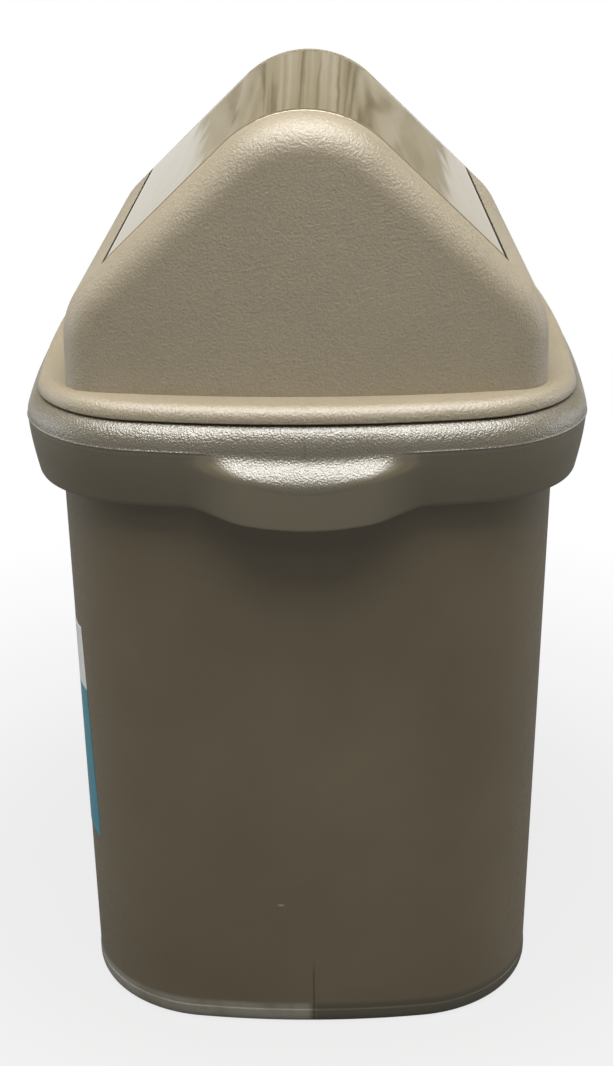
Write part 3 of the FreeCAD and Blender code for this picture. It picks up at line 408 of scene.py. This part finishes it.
END_STEPS, CORNER_STEPS, SIDE_STEPS = 44, 28, 20
COLLAR_REACH = 17.5 * MM
COLLAR_ROUND = 12.5 * MM
COLLAR_WIDEST = 371.5 * MM
ROLL_CENTRE = RIM - COLLAR_ROUND
SKIRT_BOTTOM = 337 * MM
SKIRT_TUCK = 6 * MM
PARTING = 370.5 * MM
PARTING_RIDGE = 0.5 * MM
PARTING_SPREAD = 0.45 * MM
GRIP_REACH = 24.5 * MM
GRIP_HALF_WIDTH = 66 * MM
GRIP_DIP = 8 * MM
GRIP_FLANK = 34 * MM
LINE_DIP = 2 * MM
LINE_DIP_LEVEL = 369 * MM
LINE_DIP_SPREAD = 6 * MM
EDGE_DIP_TOP = 354 * MM
EDGE_DIP_RUN = 17 * MM
SCOOP_TOP = 371.5 * MM
SCOOP_DEPTH = 17.5 * MM
SCOOP_END_DEPTH = 10.5 * MM
SET_BACK = 2 * MM
INNER_BASE = grown(BASE, -WALL)
INNER_MOUTH = grown(MOUTH, -WALL)
FLOOR_TOP = 7 * MM
INNER_TOP = 390 * MM
FLOOR_INSET = 12 * MM
INNER_FLOOR_ROUND = 6 * MM
LIP_ROUND = 1 * MM
FOOT_LEDGE = 0.4 * MM
FOOT_ROUND = 4 * MM
FOOT_RING = 14 * MM
FOOT_RECESS = 4 * MM
SMOOTH, GRAINED = 0, 1


def bucket_outside(height):
    return mix(BASE, MOUTH, height / RIM)


def bucket_inside(height):
    return mix(INNER_BASE, INNER_MOUTH, (height - FLOOR_TOP) / (INNER_TOP - FLOOR_TOP))


def collar_offset(height):
    """How far the skirt stands out from the mouth."""
    drop = max(0.0, (COLLAR_WIDEST - height) / (COLLAR_WIDEST - SKIRT_BOTTOM))
    return COLLAR_REACH - SKIRT_TUCK * drop ** 1.5 + parting_line(height)


def parting_line(height):
    """The thin ridge that the mould's parting leaves round the collar."""
    return PARTING_RIDGE * math.exp(-((height - PARTING) / PARTING_SPREAD) ** 2)


def grip_share(across):
    """1 at the middle of an end, and 0 from the grip's half width on."""
    return np.clip(1 - (across / GRIP_HALF_WIDTH) ** 2, 0, None) ** 1.5


def bin_sections():
    """Rings of the moulding from the floor inside, over the collar, to the underside.

    Each is an outline, a height, the level that the grip's pull is worked out from, or None where
    the grip pulls nothing, and the slot of its material.
    """
    rings = []

    def ring(outline, height, level=None, slot=SMOOTH):
        rings.append((outline, height, level, slot))

    ring(grown(INNER_BASE, -FLOOR_INSET), FLOOR_TOP)
    for angle in np.linspace(0, math.pi / 2, 7):
        ring(grown(bucket_inside(FLOOR_TOP), -INNER_FLOOR_ROUND * (1 - math.sin(angle))),
             FLOOR_TOP + INNER_FLOOR_ROUND * (1 - math.cos(angle)))
    for height in np.linspace(40, 370, 12):
        ring(bucket_inside(height * MM), height * MM)
    for angle in np.linspace(0, math.pi / 2, 5):
        outline = grown(bucket_inside(RIM), LIP_ROUND * (1 - math.cos(angle)))
        ring(outline, RIM - LIP_ROUND * (1 - math.sin(angle)), slot=GRAINED)
    ring(grown(MOUTH, 1 * MM), RIM, slot=GRAINED)
    ring(grown(MOUTH, 4.5 * MM), RIM, slot=GRAINED)
    for angle in np.linspace(0, math.pi / 2, 13):
        reach = COLLAR_REACH - COLLAR_ROUND * (1 - math.sin(angle))
        height = RIM - COLLAR_ROUND * (1 - math.cos(angle))
        ring(grown(MOUTH, reach), height, height, slot=GRAINED)
    near_parting = [371.9, 371.4, 371.0, 370.75, 370.5, 370.25, 370.0, 369.6, 369.1]
    below = list(np.arange(368.4, 338.6, -1.1))
    for height in near_parting + below:
        ring(grown(MOUTH, collar_offset(height * MM)), height * MM, height * MM, slot=GRAINED)
    edge = WALL / 2
    low = collar_offset(SKIRT_BOTTOM) - edge
    for angle in np.linspace(0, math.pi, 9):
        height = SKIRT_BOTTOM + edge * (1 - math.sin(angle))
        ring(grown(MOUTH, low + edge * math.cos(angle)), height, SKIRT_BOTTOM, slot=GRAINED)
    for height in np.linspace(340, 371, 20):
        ring(grown(MOUTH, collar_offset(height * MM) - WALL), height * MM, height * MM)
    ring(grown(MOUTH, 12 * MM), 380 * MM, 380 * MM)
    ring(grown(MOUTH, 7 * MM), 382.5 * MM)
    ring(grown(MOUTH, 1 * MM), 382.5 * MM)
    ring(grown(bucket_outside(381 * MM), 0.2 * MM), 381 * MM)
    for height in list(np.linspace(378, 14, 48)) + [11.0, 10.0, 9.6]:
        ring(bucket_outside(height * MM), height * MM)
    foot_steps = ((9.3, 0.05), (9.1, 0.15), (8.95, 0.28), (8.7, 0.37), (8.3, 0.4), (6.5, 0.4), (4.2, 0.4))
    for height, out in foot_steps:
        ring(grown(bucket_outside(height * MM), out * MM), height * MM)
    foot = grown(BASE, FOOT_LEDGE)
    for angle in np.linspace(0.1, math.pi / 2, 8):
        ring(grown(foot, -FOOT_ROUND * (1 - math.cos(angle))), FOOT_ROUND * (1 - math.sin(angle)))
    ring(grown(foot, -8 * MM), 0.0)
    ring(grown(BASE, -13.4 * MM), 0.0)
    ring(grown(BASE, -FOOT_RING), 0.6 * MM)
    ring(grown(BASE, -FOOT_RING), 3.5 * MM)
    ring(grown(BASE, -14.5 * MM), FOOT_RECESS)
    ring(grown(BASE, -22 * MM), FOOT_RECESS)
    return rings


def make_bin_body():
    """The bucket moulding, with its collar drawn out and down into a grip at each narrow end."""
    rings = bin_sections()
    layers = []
    ring_slots = []
    for outline, height, level, slot in rings:
        ring_slots.append(slot)
        loop = plan_loop(outline)
        heights = np.full(len(loop), height)
        if level is not None:
            share = grip_share(loop[:, 0])
            wide = smooth_step((GRIP_HALF_WIDTH - np.abs(loop[:, 0])) / GRIP_FLANK)
            side = np.sign(loop[:, 1])
            depth = SCOOP_END_DEPTH + (SCOOP_DEPTH - SCOOP_END_DEPTH) * share
            pull = smooth_step((SCOOP_TOP - level) / depth)
            spare = max(0.0, GRIP_REACH - collar_offset(level)) + SET_BACK
            up_roll = min(1.0, max(0.0, (level - ROLL_CENTRE) / COLLAR_ROUND))
            behind = SET_BACK * math.sqrt(1 - up_roll ** 2)
            fading = np.clip(3 * share, 0.0, 1.0) * parting_line(level)
            loop[:, 1] += side * (wide * (pull * spare - behind) - fading)
            line_dip = LINE_DIP * math.exp(-((level - LINE_DIP_LEVEL) / LINE_DIP_SPREAD) ** 2)
            edge_dip = GRIP_DIP * smooth_step((EDGE_DIP_TOP - level) / EDGE_DIP_RUN)
            heights = heights - share * (line_dip + edge_dip)
        layers.append(np.column_stack([loop, heights]))
    count = len(layers[0])
    faces = [list(range(count))]
    slots = [SMOOTH]
    for index in range(len(layers) - 1):
        start = index * count
        for step in range(count):
            follow = (step + 1) % count
            faces.append((start + step, start + count + step, start + count + follow, start + follow))
            slots.append(ring_slots[index])
    last = (len(layers) - 1) * count
    faces.append([last + step for step in reversed(range(count))])
    slots.append(SMOOTH)
    piece = mesh_piece("bin_moulding", np.concatenate(layers), faces, [bin_smooth, bin_grained], slots)
    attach(piece, "bin")
    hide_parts("bin_body")
    return piece


PIVOT = 518 * MM
ROOF = 546 * MM
RIDGE = 62 * MM
PITCH = math.radians(44)
FLAP_WALL = 2.4 * MM
FLAP_EDGE = 109.96 * MM
FLAP_HALF_LENGTH = 144 * MM
FLAP_STRAIGHT = 137 * MM
FLAP_ROUND = 1.1 * MM
WEB_SET_BACK = 0.6 * MM
WEB_BOTTOM = 502 * MM
HUB_RADIUS = 9 * MM
HUB_LENGTH = 8 * MM
DOWN_SLOPE = np.array([math.cos(PITCH), -math.sin(PITCH)])
OUT_OF_SLOPE = np.array([math.sin(PITCH), math.cos(PITCH)])


def crown_line(depth):
    """The ridge's arc at a depth under its outside, from the middle to the right flank."""
    radius = RIDGE - depth
    angles = np.linspace(0, PITCH, 41)
    return np.stack([radius * np.sin(angles), ROOF - RIDGE + radius * np.cos(angles)], axis=1)


def flap_section(inset):
    """Closed section of the roof sheet, made thinner by an inset on both faces; the lower edges are round."""
    half = FLAP_WALL / 2
    length = (FLAP_EDGE - RIDGE * math.sin(PITCH)) / math.cos(PITCH) - half
    shares = np.array([0.004, 0.015, 0.05, 0.15, 0.3, 0.45, 0.6, 0.75, 0.9, 0.97, 1.0])
    run = np.outer(shares * length, DOWN_SLOPE)
    outer = crown_line(inset)
    inner = crown_line(FLAP_WALL - inset)
    outer = np.concatenate([outer, outer[-1] + run])
    inner = np.concatenate([inner, inner[-1] + run])
    centre = (outer[-1] + inner[-1]) / 2
    turn = np.linspace(math.pi / 2, -math.pi / 2, 9)[1:-1]
    round_edge = np.outer(np.sin(turn), OUT_OF_SLOPE) + np.outer(np.cos(turn), DOWN_SLOPE)
    edge = centre + (half - inset) * round_edge
    right = np.concatenate([outer, edge, inner[::-1]])
    left = right[1:-1][::-1] * (-1, 1)
    return np.concatenate([right, left])


def add_prism(points, faces, outline, start, end):
    """A straight piece along Y with the given outline in X and Z; its ends have points of their own."""
    count = len(outline)
    for place in (start, end):
        first = len(points)
        points.extend((x, place, z) for x, z in outline)
        faces.append(list(range(first, first + count)))
    first = len(points)
    for place in (start, end):
        points.extend((x, place, z) for x, z in outline)
    for step in range(count):
        follow = (step + 1) % count
        faces.append((first + step, first + follow, first + count + follow, first + count + step))


def make_flap_skin():
    """The roof flap: a bent sheet with soft edges, and at each end a wall with a hub for the pin."""
    stations = []
    for angle in np.linspace(0, math.pi / 2, 6):
        inset = FLAP_ROUND * (1 - math.sin(angle))
        stations.append((FLAP_ROUND * (1 - math.cos(angle)) - FLAP_HALF_LENGTH, inset))
    rounded = list(stations)
    stations += [(place, 0.0) for place in np.linspace(-FLAP_STRAIGHT, FLAP_STRAIGHT, 15)]
    stations += [(-place, inset) for place, inset in reversed(rounded)]
    points = []
    faces = []
    size = len(flap_section(0.0))
    for place, inset in stations:
        points.extend((x, place, z) for x, z in flap_section(inset))
    for index in range(len(stations) - 1):
        start = index * size
        for step in range(size):
            follow = (step + 1) % size
            faces.append((start + step, start + follow, start + size + follow, start + size + step))
    faces.append(list(range(size)))
    last = size * (len(stations) - 1)
    faces.append(list(range(last, last + size)))
    crown = crown_line(FLAP_WALL / 2)
    foot = crown[-1] + DOWN_SLOPE * ((crown[-1][1] - WEB_BOTTOM) / math.sin(PITCH))
    half_web = np.concatenate([crown, [foot]])
    web = np.concatenate([half_web, half_web[::-1][:-1] * (-1, 1)])
    turn = np.linspace(0, 2 * math.pi, 48, endpoint=False)
    hub = np.stack([HUB_RADIUS * np.cos(turn), PIVOT + HUB_RADIUS * np.sin(turn)], axis=1)
    for side in (-1, 1):
        outside = side * (FLAP_HALF_LENGTH - WEB_SET_BACK)
        add_prism(points, faces, web, outside, outside - side * FLAP_WALL)
        add_prism(points, faces, hub, outside, side * (FLAP_HALF_LENGTH - HUB_LENGTH))
    piece = mesh_piece("flap_skin", points, faces, [flap_gloss])
    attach(piece, "flap")
    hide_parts("swing_flap")
    return piece


make_bin_body()
make_flap_skin()


# Floor, light and camera

def make_floor():
    place = (0, 0, -FLOOR_DROP)
    bpy.ops.mesh.primitive_circle_add(vertices=96, radius=FLOOR_RADIUS, fill_type="NGON", location=place)
    floor = bpy.context.object
    floor.name = "studio_floor"
    floor.data.materials.append(floor_material)


def make_light(name, place, target, size, power, colour):
    data = bpy.data.lights.new(name, "AREA")
    data.shape = "RECTANGLE"
    data.size, data.size_y = size
    data.energy = power
    data.color = colour
    lamp = bpy.data.objects.new(name, data)
    lamp.location = place
    lamp.rotation_euler = (Vector(target) - Vector(place)).to_track_quat("-Z", "Y").to_euler()
    bpy.context.scene.collection.objects.link(lamp)


def make_world():
    """A plain warm room with soft level bands, upright streaks at the back, and less light in front."""
    world = bpy.data.worlds.new("studio")
    world.use_nodes = True
    tree = world.node_tree
    background = tree.nodes["Background"]
    split = tree.nodes.new("ShaderNodeSeparateXYZ")
    where = tree.nodes.new("ShaderNodeTexCoord").outputs["Generated"]
    tree.links.new(where, split.inputs["Vector"])
    height = span(tree, split.outputs["Z"], -0.2, 1.0, 0.0, 1.0)
    colour = ramp(tree, height, (
        (0.15, (0.72, 0.66, 0.53)), (0.178, (0.4, 0.35, 0.25)), (0.195, (0.95, 0.92, 0.82)),
        (0.212, (0.3, 0.25, 0.17)), (0.228, (0.85, 0.8, 0.68)), (0.262, (0.95, 0.91, 0.8)),
        (0.31, (0.62, 0.58, 0.48)), (0.58, (0.34, 0.33, 0.3)), (1.0, (0.6, 0.59, 0.57))))
    squeezed = tree.nodes.new("ShaderNodeMapping")
    squeezed.inputs["Scale"].default_value = (1.0, 0.0, 0.12)
    tree.links.new(where, squeezed.inputs["Vector"])
    streaks = ramp(tree, noise(tree, squeezed.outputs["Vector"], 46.0, 2.0, 0.55), (
        (0.38, (0.34, 0.28, 0.19)), (0.46, (0.76, 0.7, 0.57)),
        (0.56, (0.86, 0.81, 0.69)), (0.64, (1.0, 0.97, 0.9))))
    low = span(tree, calculate(tree, "ABSOLUTE", split.outputs["Z"], 0.0), 0.12, 0.2, 1.0, 0.0)
    behind = calculate(tree, "MULTIPLY", low, span(tree, split.outputs["Y"], 0.95, 0.985, 0.0, 0.75))
    tree.links.new(blend(tree, behind, colour, streaks), background.inputs["Color"])
    tree.links.new(span(tree, split.outputs["Y"], -0.3, 0.3, 0.14, 0.9), background.inputs["Strength"])
    bpy.context.scene.world = world


def make_camera():
    """The photograph's view, from the outlines of the rim, the roof and the base."""
    place = Vector((0.0109, -1.0849, 0.6804))
    pitch, yaw, roll = 0.27456, -0.01118, -0.00874
    focal_pixels, principal_row = 1764.6, 345.0
    image_height = 1066.0
    forward = Vector((math.sin(yaw) * math.cos(pitch), math.cos(yaw) * math.cos(pitch), -math.sin(pitch)))
    right = Vector((math.cos(yaw), -math.sin(yaw), 0.0))
    up = right.cross(forward)
    turned_right = right * math.cos(roll) + up * math.sin(roll)
    turned_up = up * math.cos(roll) - right * math.sin(roll)
    data = bpy.data.cameras.new("camera")
    data.sensor_width = 36.0
    data.lens = focal_pixels / image_height * data.sensor_width
    data.shift_y = (principal_row - image_height / 2) / image_height
    data.clip_start = 0.01
    camera = bpy.data.objects.new("camera", data)
    axes = Matrix((turned_right, turned_up, -forward)).transposed()
    camera.matrix_world = Matrix.Translation(place) @ axes.to_4x4()
    bpy.context.scene.collection.objects.link(camera)
    bpy.context.scene.camera = camera


make_floor()
make_light("ceiling_softbox", (0.0, -0.65, 2.1), (0.0, -0.65, 0.35), (2.0, 1.5), 77.0, WARM_WHITE)
make_light("front_softbox", (0.0, -1.85, 2.0), (0.0, -0.3, 0.4), (1.6, 0.6), 7.0, WARM_WHITE)
for name, side in (("left_strip", -1), ("right_strip", 1)):
    make_light(name, (side * 1.9, 0.3, 0.6), (0.0, 0.0, 0.25), (0.5, 1.3), 8.0, COOL_WHITE)
make_world()
make_camera()

bpy.context.scene.view_settings.view_transform = "Standard"
